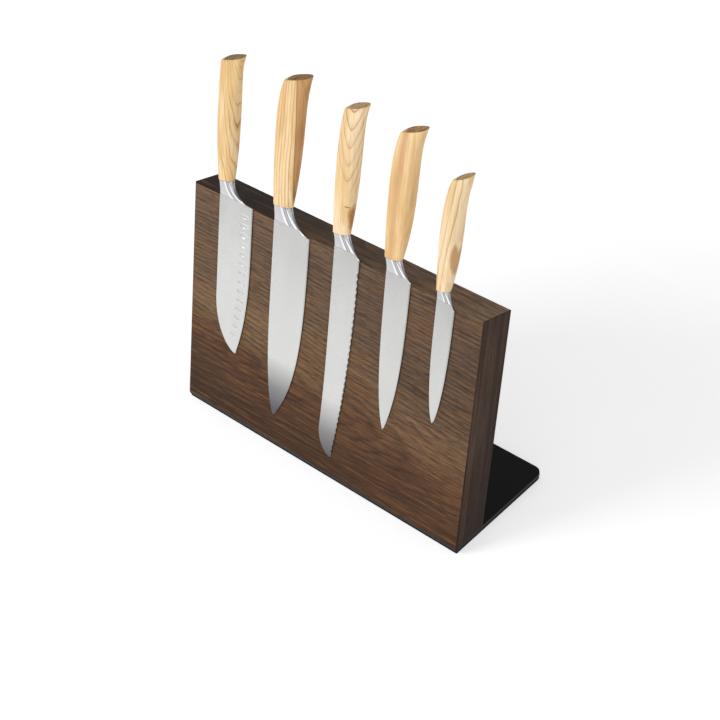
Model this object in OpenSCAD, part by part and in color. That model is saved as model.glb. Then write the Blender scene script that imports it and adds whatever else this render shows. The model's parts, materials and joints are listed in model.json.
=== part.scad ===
// Magnetic knife block with five knives.
// A dark wooden board leans back on a flat black base. Magnets hidden in the board
// hold five kitchen knives, blade down and side by side, on its front face.
// Millimetres. +X is to the right seen from the front, -Y is the front, +Z is up.
// The origin is the centre of the base, on the surface the block stands on.

/* [Board] */
// width of the board and of the base, side to side
block_w = 350; // [346:1:400]
// height of the front face, measured up the slope
face_h = 223; // [218:1:260]
// thickness of the board
board_t = 34.7; // [28:0.1:40]
// thickness of the front half, which holds the magnets
front_board_t = 11; // [10:0.5:14]
// how far the board leans back from upright, in degrees
lean = 16.5; // [10:0.5:18]
// small flat along the board's long edges
edge_flat = 0.7; // [0.3:0.1:1.5]

/* [Magnets] */
// diameter of one disc magnet
magnet_d = 25; // [15:1:28]
// thickness of one disc magnet
magnet_t = 8; // [4:0.5:8]
// wood left between a magnet and the front face
magnet_skin = 2.5; // [1.5:0.5:2.5]
// magnets in one row
magnets_in_row = 10; // [5:1:11]
// distance from the board's side to the first magnet
magnet_margin = 24; // [20:1:30]
// height of the upper row up the front face
magnet_high = 197; // [185:1:200]
// height of the lower row up the front face
magnet_low = 143; // [130:1:150]

/* [Base] */
// depth of the base, front to back
base_d = 120; // [110:1:140]
// thickness of the black metal plate
plate_t = 3; // [3:0.5:5]
// thickness of the non-slip pad under the plate
pad_t = 3.2; // [2:0.2:4]
// how far the pad stays inside the plate's edge
pad_inset = 0.6; // [0.4:0.2:4]
// corner radius at the back of the base
rear_corner_r = 9; // [4:0.5:15]
// corner radius at the front of the base
front_corner_r = 1; // [0.5:0.5:3]
// length of a screw that holds the board to the plate
screw_l = 27; // [18:1:27]
// diameter of its shank
screw_d = 4.2; // [3.5:0.1:5]
// diameter of its countersunk head
screw_head_d = 9; // [7.5:0.1:9]

/* [Santoku] */
// place of the spine across the board, from its centre
santoku_x = -138.6; // [-142:0.1:-136]
// blade length below the board's top edge
santoku_len = 153.6; // [145:0.1:165]
// blade width at the heel
santoku_w = 42.3; // [40:0.1:46]
// number of hollows ground along the edge
santoku_hollows = 14; // [8:1:14]

/* [Chef's knife] */
// place of the spine across the board, from its centre
chef_x = -67; // [-70:0.5:-64]
// blade length below the board's top edge
chef_len = 194.9; // [180:0.1:205]
// blade width at the heel
chef_w = 43.3; // [41:0.1:47]

/* [Bread knife] */
// place of the spine across the board, from its centre
bread_x = 7.6; // [4:0.1:10]
// blade length below the board's top edge
bread_len = 204.5; // [190:0.5:210]
// blade width at the heel
bread_w = 28.8; // [27:0.1:33]
// distance from one serration to the next
serration_pitch = 6.38; // [5:0.02:8]
// depth of a serration
serration_depth = 0.95; // [0.5:0.05:1.4]

/* [Carving knife] */
// place of the spine across the board, from its centre
carving_x = 68.5; // [66:0.1:71]
// blade length below the board's top edge
carving_len = 146.6; // [135:0.1:170]
// blade width at the heel
carving_w = 26.9; // [25:0.1:31]

/* [Utility knife] */
// place of the spine across the board, from its centre
utility_x = 125.4; // [121:0.1:130]
// blade length below the board's top edge
utility_len = 114.2; // [100:0.1:130]
// blade width at the heel
utility_w = 19; // [17:0.1:23]

/* [Knife details] */
// blade thickness at the edge before sharpening
edge_t = 0.35; // [0.2:0.05:0.6]
// half thickness of a handle at the bolster
neck_half_t = 4.3; // [3.8:0.1:6]
// half thickness of a handle at its middle
grip_half_t = 7.2; // [6:0.1:9]
// half thickness of a handle at the butt
butt_half_t = 5.8; // [5:0.1:8]
// step from the handle down to the bolster
joint_step = 0.6; // [0.3:0.1:1]
// share of the handle's length that the tang fills
tang_share = 0.62; // [0.4:0.02:0.75]

/* [Hidden] */

// colours
SMOKED = [0.30, 0.20, 0.14];
OLIVE = [0.86, 0.70, 0.46];
STEEL = [0.80, 0.80, 0.80];
POLISHED = [0.72, 0.73, 0.75];
BLACK = [0.05, 0.05, 0.05];
PAD = [0.09, 0.09, 0.09];
MAGNET = [0.35, 0.35, 0.37];

base_h = plate_t + pad_t;
// clearance between a hanging blade and the board, so that they touch but never share space
hang_gap = 0.1;
// clearance of a magnet in its pocket, on the radius
pocket_gap = 0.2;
// the screws stand in the back half of the board: distance from the base's front edge
screw_y = 24;
// the screws' places across the board, as shares of its width
SCREW_SHARES = [-0.4, -0.14, 0.14, 0.4];
screw_clearance = 0.25;
screw_head_t = (screw_head_d - screw_d) / 2;
// a screw's point is as long as its shank is thick, and blunt at the very end
screw_point = screw_d;
screw_blunt_r = 0.4;
// how far a cutting shape reaches past what it cuts
over = 1;
round_fn = 64;

// points along one curved stretch of a blade's outline
curve_steps = 18;
// points around a bolster or a handle, and rings along each
ring_points = 28;
bolster_rings = 10;
grip_rings = 16;
butt_rings = 6;
// points along the bread knife's flared spine and along a finger guard
flare_steps = 8;
guard_steps = 8;
// the guard's turn where it reaches the heel corner, just short of a right angle
heel_angle = 89.9;
// outline points that would come closer than this to the one before are left out
least_step = 0.5;
// how late the bread knife's spine flares out
flare_turn = 4;
// how late a handle's spine side sweeps in and its edge side flares out towards the butt
sweep_late = 7;
flare_late = 9;
// how late a bolster thickens towards the handle
bolster_sweep = 1.5;
// roundness at the spine side and at the edge side: where a bolster leaves the blade, where
// it meets the handle, and of the handle itself
FOOT_ROUND = [7, 7];
NECK_ROUND = [4, 2.2];
GRIP_ROUND = [3.2, 2.3];
// where the butt's spine corner turns, as shares of its size, and how hollow the beak is
CORNER_TURN = [0.25, 0.75];
beak_hollow = 0.6;
// how much the flat butt tips down towards the front
butt_slant = 0.3;
// a tang's width as a share of the handle's at the joint
tang_w_share = 0.42;

// ---- the five knives ----
// Each knife is [place, length, width, blade shape, handle shape].
// Blade shape: spine thickness at the heel, at the tip, tip's share of the width,
//   spine: straight share of the length, reach, roundness; how far it flares out;
//   edge: straight share of the length, reach, roundness;
//   heel corner's depth below the board's top edge, roundness of the finger guard.
// Handle shape, in mm from the spine line and from the board's top edge:
//   height where the bolster starts; joint height at the spine side, its rise to the edge
//   side; height where the butt's corner starts; beak across, beak up; spine side at the
//   joint, edge side at the joint; outward bow of the spine side, edge side at the belly,
//   swell, inward sweep of the spine side, flare, corner size.
SANTOKU = [santoku_x, santoku_len, santoku_w,
  [2.2, 0.9, 0.65, 0.66, 1.01, 1.98, 0, 0.21, 4.0, 2.9, -0.6, 2.26],
  [1.5, 15.5, 3.3, 126.5, 24.5, 137.4, -1.2, 16.9, 2.8, 20.2, 3.5, 0.6, 1.2, 3.7]];
CHEF = [chef_x, chef_len, chef_w,
  [2.5, 1.0, 0.26, 0.47, 1.01, 2.12, 0, -0.18, 1.26, 4.2, 2.0, 1.8],
  [2.2, 17.0, 3.0, 131.4, 34.9, 143.8, -1.2, 20.9, 1.2, 29.0, 2.2, 5.9, 3.0, 4.3]];
BREAD = [bread_x, bread_len, bread_w,
  [2.4, 1.0, 0.45, 0.87, 1.01, 2.06, 3.2, 0.11, 3.6, 1.9, -1.6, 1.35],
  [4.8, 17.5, 2.6, 128.8, 26.4, 139.6, -2.1, 15.9, 0.2, 21.6, 2.5, 3.4, 2.1, 4.4]];
CARVING = [carving_x, carving_len, carving_w,
  [2.3, 0.8, 0.41, -0.25, 1.083, 3.82, 0, -0.25, 1.25, 3.6, -3.2, 1.4],
  [5.0, 17.7, 1.6, 127.7, 29.6, 140.2, -2.4, 15.3, 0.9, 23.7, 3.3, 5.6, 2.2, 5.2]];
UTILITY = [utility_x, utility_len, utility_w,
  [2.0, 0.7, 0.45, 0.27, 1.01, 2.08, 0, -0.01, 1.06, 2.3, 2.5, 1.37],
  [1.3, 10.3, 1.9, 107.3, 23.2, 118.5, -0.6, 12.0, 1.4, 18.1, 3.8, 5.7, 3.1, 4.1]];

function place(k) = k[0];
function blade_l(k) = k[1];
function blade_w(k) = k[2];
function heel_t(k) = k[3][0];
function tip_t(k) = k[3][1];
function tip_x(k) = k[3][2] * blade_w(k);
function flare_out(k) = k[3][6];
function heel_drop(k) = k[3][10];
function guard_round(k) = k[3][11];
function line_z(k) = k[4][0];
function joint_low(k) = k[4][1];
function joint_rise(k) = k[4][2];
function corner_z(k) = k[4][3];
function beak(k) = [k[4][4], k[4][5]];
function neck_spine(k) = k[4][6];
function neck_edge(k) = k[4][7];
function spine_bow(k) = k[4][8];
function belly(k) = k[4][9];
function swell(k) = k[4][10];
function sweep(k) = k[4][11];
function edge_flare(k) = k[4][12];
function corner_size(k) = k[4][13];

// ---- curves ----
// a curve that leaves its straight softly: 0 at 0, steeper towards 1
function bend(s, p) = 1 - pow(1 - pow(s, p), 1 / p);
function clamp(v, low, high) = min(high, max(low, v));
function mix(a, b, f) = a + (b - a) * f;
function signed_pow(v, e) = sign(v) * pow(abs(v), e);

// share of the way a curve of the given [straight share, reach, roundness] has bent at depth d
function bent(k, curve, d) =
  let (
    start = curve[0] * blade_l(k),
    span = (blade_l(k) - start) * curve[1],
    s = clamp((d - start) / span, 0, 1)
  )
  bend(s, curve[2]) / bend(1 / curve[1], curve[2]);

function spine_curve(k) = [k[3][3], k[3][4], k[3][5]];
function edge_curve(k) = [k[3][7], k[3][8], k[3][9]];

// the spine and the edge at depth d below the board's top edge
function spine_x(k, d) =
  let (run = spine_curve(k)[0] * blade_l(k), share = clamp(d / max(run, 1), 0, 1))
  (tip_x(k) + flare_out(k)) * bent(k, spine_curve(k), d) - flare_out(k) * pow(share, flare_turn);
function edge_x(k, d) = mix(blade_w(k), tip_x(k), bent(k, edge_curve(k), d));

// depths that follow a curve closely where it turns fast, from depth d0 to the tip
function curve_depths(k, curve, d0) =
  let (
    start = curve[0] * blade_l(k),
    span = (blade_l(k) - start) * curve[1],
    first = max(0, (d0 - start) / span),
    a0 = asin(pow(first, curve[2] / 2)),
    a1 = asin(pow(1 / curve[1], curve[2] / 2))
  )
  [for (i = [0:curve_steps]) start + span * pow(sin(mix(a0, a1, i / curve_steps)), 2 / curve[2])];

// ---- blade ----
// the slanting joint between bolster and handle: its height at x across
function joint_z(k, x) =
  joint_low(k) + joint_rise(k) * (x - neck_spine(k)) / (neck_edge(k) - neck_spine(k));
function bolster_edge(k) = neck_edge(k) - joint_step;
function guard_top(k) = joint_z(k, bolster_edge(k));

// the finger guard runs from the joint's edge side down to the heel corner
function guard_at(k, a) = [
  mix(bolster_edge(k), blade_w(k), 1 - pow(cos(a), 2 / guard_round(k))),
  mix(guard_top(k), -heel_drop(k), pow(sin(a), 2 / guard_round(k)))
];
function guard_angle(k, z) =
  asin(pow((guard_top(k) - z) / (guard_top(k) + heel_drop(k)), guard_round(k) / 2));

function tang_w(k) = tang_w_share * (neck_edge(k) - neck_spine(k));
function tang_x(k) = (neck_edge(k) + neck_spine(k) - tang_w(k)) / 2;
function tang_top(k) = mix(joint_low(k), corner_z(k), tang_share);

function blade_outline(k) =
  let (
    spine_depths = curve_depths(k, spine_curve(k), -line_z(k)),
    edge_depths = curve_depths(k, edge_curve(k), heel_drop(k)),
    flare_depths = flare_out(k) > 0
      ? [for (i = [1:flare_steps]) spine_depths[0] * i / (flare_steps + 1)]
      : [],
    a_line = guard_angle(k, line_z(k))
  )
  concat(
    [[0, line_z(k)]],
    [for (d = flare_depths) [spine_x(k, d), -d]],
    [for (d = spine_depths) if (d > -line_z(k) + least_step) [spine_x(k, d), -d]],
    [for (i = [curve_steps - 1:-1:0]) [edge_x(k, edge_depths[i]), -edge_depths[i]]],
    edge_depths[0] > heel_drop(k) + least_step ? [[blade_w(k), -heel_drop(k)]] : [],
    [for (i = [1:guard_steps]) guard_at(k, mix(heel_angle, a_line, i / guard_steps))],
    [
      [tang_x(k) + tang_w(k), line_z(k)],
      [tang_x(k) + tang_w(k), tang_top(k)],
      [tang_x(k), tang_top(k)],
      [tang_x(k), line_z(k)]
    ]
  );

// stands its children on the board's front face, with z up the slope and -y away from the face
module on_face() {
  translate([0, -base_d / 2, base_h])
    rotate([-lean, 0, 0])
      children();
}

module on_hook(k) {
  on_face()
    translate([place(k), -hang_gap, face_h])
      children();
}

// the blade is ground thin towards the edge and towards the tip; its back lies flat on the board
module grind(k) {
  side = 20;
  low = -blade_l(k) - over;
  t = heel_t(k);
  intersection() {
    translate([0, 0, low])
      linear_extrude(line_z(k) - low)
        polygon([[-side, 0], [-side, -t], [0, -t], [blade_w(k), -edge_t],
                 [blade_w(k) + side, -edge_t], [blade_w(k) + side, 0]]);
    translate([-side, 0, 0])
      rotate([90, 0, 90])
        linear_extrude(blade_w(k) + 2 * side)
          polygon([[0, low], [-tip_t(k), low], [-t, 0], [-t, line_z(k)], [0, line_z(k)]]);
  }
  translate([-side, -t, line_z(k)])
    cube([blade_w(k) + 2 * side, t, tang_top(k)]);
}

module plain_blade(k) {
  intersection() {
    rotate([90, 0, 0])
      linear_extrude(heel_t(k))
        polygon(blade_outline(k));
    grind(k);
  }
}

// shallow oval hollows, ground by the rim of a wheel
module hollows(k, count) {
  first = 10.3;
  pitch = 9.4;
  from_edge = 8.9;
  depth = 0.3;
  wheel_r = 44;
  wheel_w = 8;
  rim_r = 10.5;
  rim = 3;
  for (i = [0:count - 1]) {
    d = first + i * pitch;
    x = edge_x(k, d) - from_edge;
    face = mix(heel_t(k), edge_t, x / blade_w(k));
    translate([x, -(face + wheel_r - depth), -d])
      rotate_extrude($fn = round_fn)
        intersection() {
          translate([wheel_r - rim_r, 0])
            circle(r = rim_r, $fn = round_fn);
          translate([wheel_r - rim, -wheel_w / 2])
            square([rim + over, wheel_w]);
        }
  }
}

// round scallops along the edge
module serrations(k) {
  first = 13.2;
  plain_end = 6;
  half = serration_pitch / 2;
  r = (half * half + serration_depth * serration_depth) / (2 * serration_depth);
  count = floor((blade_l(k) - first - plain_end) / serration_pitch);
  for (i = [0:count]) {
    d = first + i * serration_pitch;
    translate([edge_x(k, d) + r - serration_depth, over, -d])
      rotate([90, 0, 0])
        cylinder(r = r, h = heel_t(k) + 2 * over, $fn = round_fn);
  }
}

// ---- bolsters and handles ----
// one closed ring between a spine-side and an edge-side point [x, z]; half thickness,
// middle plane and roundness are given at both sides; a high roundness makes it boxy, and a
// slant tips the ring down towards the front
function ring(left, right, half, mid, roundness, slant = 0) = [
  for (j = [0:ring_points - 1])
    let (
      a = 360 * j / ring_points,
      n = cos(a) < 0 ? roundness[0] : roundness[1],
      f = (signed_pow(cos(a), 2 / n) + 1) / 2,
      p = mix(left, right, f),
      off_middle = signed_pow(sin(a), 2 / n) * mix(half[0], half[1], f)
    )
    [p[0], -mix(mid[0], mid[1], f) - off_middle, p[1] - slant * off_middle]
];

// skins a row of rings into one solid
module loft(rings) {
  n = ring_points;
  last = len(rings) - 1;
  points = [for (r = rings) each r];
  bottom = [for (j = [n - 1:-1:0]) j];
  top = [for (j = [0:n - 1]) last * n + j];
  sides = [
    for (i = [0:last - 1])
      for (j = [0:n - 1])
        let (a = i * n + j, b = i * n + (j + 1) % n)
          each [[a, b, b + n], [a, b + n, a + n]]
  ];
  polyhedron(points = points, faces = concat([bottom], sides, [top]), convexity = 4);
}

function bolster_ring(k, f) =
  let (
    spine_end = neck_spine(k) + joint_step,
    left = [mix(0, spine_end, f * f), mix(line_z(k), joint_z(k, spine_end), f)],
    right_z = mix(line_z(k), guard_top(k), f),
    right = [guard_at(k, guard_angle(k, right_z))[0], right_z],
    blade_half = heel_t(k) / 2,
    full = neck_half_t - joint_step,
    thin = mix(blade_half, edge_t, right[0] / blade_w(k)),
    rise = pow(f, bolster_sweep)
  )
  ring(left, right,
       [mix(blade_half, full, rise), mix(thin, full, rise)],
       [blade_half, mix(thin, blade_half, f)],
       mix(FOOT_ROUND, NECK_ROUND, f));

module bolster(k) {
  color(POLISHED)
    on_hook(k)
      difference() {
        loft([for (i = [0:bolster_rings]) bolster_ring(k, i / bolster_rings)]);
        translate([tang_x(k), -heel_t(k), line_z(k) - over])
          cube([tang_w(k), heel_t(k), guard_top(k) - line_z(k) + 2 * over]);
      }
}

// the grip's two sides at share u of the way from the joint to the butt's corner
function grip_spine(k, u) =
  neck_spine(k) - spine_bow(k) * (1 - pow(1 - u, swell(k))) + sweep(k) * pow(u, sweep_late);
function grip_edge(k, u) =
  mix(neck_edge(k), belly(k), 1 - pow(1 - u, swell(k))) + edge_flare(k) * pow(u, flare_late);
function grip_half(u) =
  u < 0.5 ? mix(neck_half_t, grip_half_t, sin(180 * u)) : mix(butt_half_t, grip_half_t, sin(180 * u));
function bezier(a, b, c, f) = mix(mix(a, b, f), mix(b, c, f), f);

function grip_ring(k, u) =
  let (
    low = joint_z(k, neck_spine(k)),
    high = joint_z(k, neck_edge(k)),
    half = grip_half(u),
    mid = heel_t(k) / 2
  )
  ring([grip_spine(k, u), mix(low, corner_z(k), u)],
       [grip_edge(k, u), mix(high, corner_z(k), u)],
       [half, half], [mid, mid], GRIP_ROUND);

// above the corner the spine side rounds over while the edge side runs on to the beak
function butt_ring(k, f) =
  let (
    size = corner_size(k),
    z = corner_z(k),
    left = [grip_spine(k, 1), z],
    right = [grip_edge(k, 1), z],
    left_turn = left + size * CORNER_TURN,
    right_turn = mix(right, beak(k), 0.5) - [beak_hollow, 0],
    mid = heel_t(k) / 2
  )
  ring(bezier(left, left_turn, left + [size, size], f),
       bezier(right, right_turn, beak(k), f),
       [butt_half_t, butt_half_t], [mid, mid], GRIP_ROUND, butt_slant * f);

module handle(k) {
  color(OLIVE)
    on_hook(k)
      difference() {
        loft(concat(
          [for (i = [0:grip_rings]) grip_ring(k, i / grip_rings)],
          [for (i = [1:butt_rings]) butt_ring(k, i / butt_rings)]
        ));
        translate([tang_x(k), -heel_t(k), joint_low(k) - over])
          cube([tang_w(k), heel_t(k), tang_top(k) - joint_low(k) + over]);
      }
}

// ---- board ----
// section of the whole board from y0 to y1 behind the face, cut level at the foot
module board_slice(y0, y1) {
  foot = tan(lean);
  front_flat = y0 == 0 ? edge_flat : 0;
  back_flat = y1 == board_t ? edge_flat : 0;
  intersection() {
    translate([-block_w / 2, 0, 0])
      rotate([90, 0, 90])
        linear_extrude(block_w)
          polygon([[y0, y0 * foot], [y1, y1 * foot], [y1, face_h - back_flat],
                   [y1 - back_flat, face_h], [y0 + front_flat, face_h],
                   [y0, face_h - front_flat]]);
    translate([0, 0, -over])
      linear_extrude(face_h + 2 * over)
        polygon([[-block_w / 2 + front_flat, y0], [block_w / 2 - front_flat, y0],
                 [block_w / 2, y0 + front_flat], [block_w / 2, y1 - back_flat],
                 [block_w / 2 - back_flat, y1], [-block_w / 2 + back_flat, y1],
                 [-block_w / 2, y1 - back_flat], [-block_w / 2, y0 + front_flat]]);
  }
}

// one row of discs lying behind the face, from depth y0, seen square on
module disc_row(z, y0, d, t) {
  pitch = (block_w - 2 * magnet_margin) / (magnets_in_row - 1);
  for (i = [0:magnets_in_row - 1])
    translate([-block_w / 2 + magnet_margin + i * pitch, y0, z])
      rotate([-90, 0, 0])
        cylinder(d = d, h = t, $fn = round_fn);
}

module front_board() {
  pocket = front_board_t - magnet_skin;
  color(SMOKED)
    on_face()
      difference() {
        board_slice(0, front_board_t);
        disc_row(magnet_high, magnet_skin, magnet_d + 2 * pocket_gap, pocket + over);
        disc_row(magnet_low, magnet_skin, magnet_d + 2 * pocket_gap, pocket + over);
      }
}

module back_board() {
  color(SMOKED)
    difference() {
      on_face()
        board_slice(front_board_t, board_t);
      screw_shanks();
    }
}

module upper_magnets() {
  color(MAGNET)
    on_face()
      disc_row(magnet_high, magnet_skin, magnet_d, magnet_t);
}

module lower_magnets() {
  color(MAGNET)
    on_face()
      disc_row(magnet_low, magnet_skin, magnet_d, magnet_t);
}

// ---- base ----
// outline of the base, inset all round, with its back corners rounder than its front ones
module base_outline(inset) {
  x = block_w / 2 - inset;
  y = base_d / 2 - inset;
  rear = rear_corner_r - inset;
  front = front_corner_r;
  difference() {
    square([2 * x, 2 * y], center = true);
    for (s = [-1, 1]) {
      corner_cut([s * x, y], [s, 1], rear);
      corner_cut([s * x, -y], [s, -1], front);
    }
  }
}

// what a rounded corner takes away; toward points out of the corner
module corner_cut(corner, toward, r) {
  translate(corner)
    mirror([toward[0] > 0 ? 0 : 1, 0])
      mirror([0, toward[1] > 0 ? 0 : 1])
        difference() {
          translate([-r, -r])
            square(2 * r);
          translate([-r, -r])
            circle(r = r, $fn = round_fn);
        }
}

module screw_spots() {
  for (s = SCREW_SHARES)
    translate([s * block_w, -base_d / 2 + screw_y, pad_t])
      children();
}

module screw_shanks() {
  screw_spots() {
    cylinder(d = screw_d, h = screw_l - screw_point, $fn = round_fn);
    translate([0, 0, screw_l - screw_point])
      cylinder(r1 = screw_d / 2, r2 = screw_blunt_r, h = screw_point, $fn = round_fn);
  }
}

module screw_heads() {
  screw_spots()
    cylinder(d1 = screw_head_d, d2 = screw_d, h = screw_head_t, $fn = round_fn);
}

module base_plate() {
  color(BLACK)
    difference() {
      translate([0, 0, pad_t])
        linear_extrude(plate_t)
          base_outline(0);
      screw_heads();
      screw_spots()
        translate([0, 0, -over])
          cylinder(r = screw_d / 2 + screw_clearance, h = plate_t + 2 * over, $fn = round_fn);
    }
}

module base_screws() {
  color(STEEL) {
    screw_heads();
    screw_shanks();
  }
}

module non_slip_pad() {
  color(PAD)
    linear_extrude(pad_t)
      base_outline(pad_inset);
}

// ---- knives ----
module santoku_blade() {
  color(STEEL)
    on_hook(SANTOKU)
      difference() {
        plain_blade(SANTOKU);
        hollows(SANTOKU, santoku_hollows);
      }
}

module bread_blade() {
  color(STEEL)
    on_hook(BREAD)
      difference() {
        plain_blade(BREAD);
        serrations(BREAD);
      }
}

module chef_blade() {
  color(STEEL)
    on_hook(CHEF)
      plain_blade(CHEF);
}

module carving_blade() {
  color(STEEL)
    on_hook(CARVING)
      plain_blade(CARVING);
}

module utility_blade() {
  color(STEEL)
    on_hook(UTILITY)
      plain_blade(UTILITY);
}

module santoku_bolster() { bolster(SANTOKU); }
module chef_bolster() { bolster(CHEF); }
module bread_bolster() { bolster(BREAD); }
module carving_bolster() { bolster(CARVING); }
module utility_bolster() { bolster(UTILITY); }

module santoku_handle() { handle(SANTOKU); }
module chef_handle() { handle(CHEF); }
module bread_handle() { handle(BREAD); }
module carving_handle() { handle(CARVING); }
module utility_handle() { handle(UTILITY); }

front_board();
back_board();
upper_magnets();
lower_magnets();
base_plate();
base_screws();
non_slip_pad();
santoku_blade();
santoku_bolster();
santoku_handle();
chef_blade();
chef_bolster();
chef_handle();
bread_blade();
bread_bolster();
bread_handle();
carving_blade();
carving_bolster();
carving_handle();
utility_blade();
utility_bolster();
utility_handle();
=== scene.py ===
"""The looks of the magnetic knife block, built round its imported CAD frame. Metres, +Z up.

The board, the base and the pad keep their CAD solids and get rounded edges and materials.
Blades, bolsters and handles are remade here as smooth, finely divided meshes that follow
the same dimensions as the CAD and stand for its nodes.
"""

import json
import math

import bpy
from mathutils import Matrix, Vector


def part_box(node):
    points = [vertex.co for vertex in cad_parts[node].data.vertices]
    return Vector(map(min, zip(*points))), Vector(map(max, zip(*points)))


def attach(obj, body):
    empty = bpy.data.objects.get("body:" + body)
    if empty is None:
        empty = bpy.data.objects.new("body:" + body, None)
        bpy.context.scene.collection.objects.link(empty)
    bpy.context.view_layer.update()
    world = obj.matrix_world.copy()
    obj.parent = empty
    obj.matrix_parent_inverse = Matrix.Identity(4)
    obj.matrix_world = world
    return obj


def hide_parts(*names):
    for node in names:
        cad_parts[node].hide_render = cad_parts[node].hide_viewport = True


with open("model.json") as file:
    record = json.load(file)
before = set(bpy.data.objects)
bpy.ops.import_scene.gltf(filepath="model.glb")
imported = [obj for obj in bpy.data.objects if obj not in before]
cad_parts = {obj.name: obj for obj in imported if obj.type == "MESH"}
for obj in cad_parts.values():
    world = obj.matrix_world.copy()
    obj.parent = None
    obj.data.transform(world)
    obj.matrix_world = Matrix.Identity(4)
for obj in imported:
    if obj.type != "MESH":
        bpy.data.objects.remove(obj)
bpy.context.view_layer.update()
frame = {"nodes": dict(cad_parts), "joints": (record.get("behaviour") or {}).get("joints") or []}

# ---- where the board's face is, from the frame ----
PULL = Vector(frame["joints"][0]["axis"]).normalized()
LEAN = math.asin(PULL.z)
FACE_UP = Vector((0, math.sin(LEAN), math.cos(LEAN)))
# the CAD board's corner flats
EDGE_FLAT = 0.0007
board_low, board_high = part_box("front_board")
FOOT = Vector((0, board_low[1], board_low[2]))
FACE_H = (board_high[2] - board_low[2] + EDGE_FLAT * math.sin(LEAN)) / math.cos(LEAN)
HALF_W = board_high[0]
# how far the blades' backs stand off the face, as in the CAD
HANG_GAP = 0.0001

# ---- knives: the same dimensions as the CAD ----
NECK_HALF_T = 0.0043
GRIP_HALF_T = 0.0072
BUTT_HALF_T = 0.0058
JOINT_STEP = 0.0006
BEAK_HOLLOW = 0.0006
# how late along its run each of these curves sets in
FLARE_POWER = 4
SWEEP_POWER = 7
EDGE_FLARE_POWER = 9
LEAST_RUN = 0.001
# roundness of a ring at its spine side and at its edge side
FOOT_ROUND = (7, 7)
NECK_ROUND = (4, 2.2)
GRIP_ROUND = (3.2, 2.3)
HOLLOW = dict(first=0.0103, pitch=0.0094, from_edge=0.0089, half_w=0.0055, half_h=0.00285,
              depth=0.00042, count=14)
SERRATION = dict(first=0.0132, pitch=0.00638, depth=0.00095, stop=0.006)

# measured across from the spine line and up from the board's top edge.
# tip: where the tip lies, as a share of the width; spine and edge: straight share, reach and
# roundness; flare: how far the spine stands out before the tip; heel: its drop below the
# board's top edge; guard: the finger guard's roundness; line: where the bolster starts;
# joint and rise: the handle's joint at the spine side, and its rise to the edge side;
# neck: the grip's two sides at the joint; bow, belly and swell: how far its spine side bows,
# where its edge side swells to, and how soon; sweep and edge_flare: how far the two sides turn
# towards the edge near the butt; corner and size: where the butt's turn starts and how large
# it is on the spine side; beak: the butt's point on the edge side
KNIVES = {
    "santoku": dict(
        body="santoku", length=0.1536, width=0.0423, spine_t=0.0022, tip=0.65,
        spine=(0.66, 1.01, 1.98), flare=0.0, edge=(0.21, 4.0, 2.9), heel=-0.0006, guard=2.26,
        line=0.0015, joint=0.0155, rise=0.0033, corner=0.1265, beak=(0.0245, 0.1374),
        neck=(-0.0012, 0.0169), bow=0.0028, belly=0.0202, swell=3.5, sweep=0.0006,
        edge_flare=0.0012, size=0.0037),
    "chef": dict(
        body="chef_knife", length=0.1949, width=0.0433, spine_t=0.0025, tip=0.26,
        spine=(0.47, 1.01, 2.12), flare=0.0, edge=(-0.18, 1.26, 4.2), heel=0.002, guard=1.8,
        line=0.0022, joint=0.017, rise=0.003, corner=0.1314, beak=(0.0349, 0.1438),
        neck=(-0.0012, 0.0209), bow=0.0012, belly=0.0290, swell=2.2, sweep=0.0059,
        edge_flare=0.003, size=0.0043),
    "bread": dict(
        body="bread_knife", length=0.2045, width=0.0288, spine_t=0.0024, tip=0.45,
        spine=(0.87, 1.01, 2.06), flare=0.0032, edge=(0.11, 3.6, 1.9), heel=-0.0016, guard=1.35,
        line=0.0048, joint=0.0175, rise=0.0026, corner=0.1288, beak=(0.0264, 0.1396),
        neck=(-0.0021, 0.0159), bow=0.0002, belly=0.0216, swell=2.5, sweep=0.0034,
        edge_flare=0.0021, size=0.0044),
    "carving": dict(
        body="carving_knife", length=0.1466, width=0.0269, spine_t=0.0023, tip=0.41,
        spine=(-0.25, 1.083, 3.82), flare=0.0, edge=(-0.25, 1.25, 3.6), heel=-0.0032, guard=1.4,
        line=0.005, joint=0.0177, rise=0.0016, corner=0.1277, beak=(0.0296, 0.1402),
        neck=(-0.0024, 0.0153), bow=0.0009, belly=0.0237, swell=3.3, sweep=0.0056,
        edge_flare=0.0022, size=0.0052),
    "utility": dict(
        body="utility_knife", length=0.1142, width=0.019, spine_t=0.0020, tip=0.45,
        spine=(0.27, 1.01, 2.08), flare=0.0, edge=(-0.01, 1.06, 2.3), heel=0.0025, guard=1.37,
        line=0.0013, joint=0.0103, rise=0.0019, corner=0.1073, beak=(0.0232, 0.1185),
        neck=(-0.0006, 0.012), bow=0.0014, belly=0.0181, swell=3.8, sweep=0.0057,
        edge_flare=0.0031, size=0.0041),
}


# ---- curves, as in the CAD ----
def clamp(v, low, high):
    return min(high, max(low, v))


def mix(a, b, f):
    return a + (b - a) * f


def mix2(a, b, f):
    return (mix(a[0], b[0], f), mix(a[1], b[1], f))


def signed_pow(v, e):
    return math.copysign(abs(v) ** e, v)


def bend(s, p):
    return 1 - max(0.0, 1 - s ** p) ** (1 / p)


def bent(k, curve, d):
    straight, reach, roundness = curve
    start = straight * k["length"]
    span = (k["length"] - start) * reach
    return bend(clamp((d - start) / span, 0, 1), roundness) / bend(1 / reach, roundness)


def spine_x(k, d):
    """The spine at depth d below the board's top edge, across from the spine line."""
    run = max(k["spine"][0] * k["length"], LEAST_RUN)
    share = clamp(d / run, 0, 1)
    tip_x = k["tip"] * k["width"]
    return (tip_x + k["flare"]) * bent(k, k["spine"], d) - k["flare"] * share ** FLARE_POWER


def edge_x(k, d):
    return mix(k["width"], k["tip"] * k["width"], bent(k, k["edge"], d))


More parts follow.
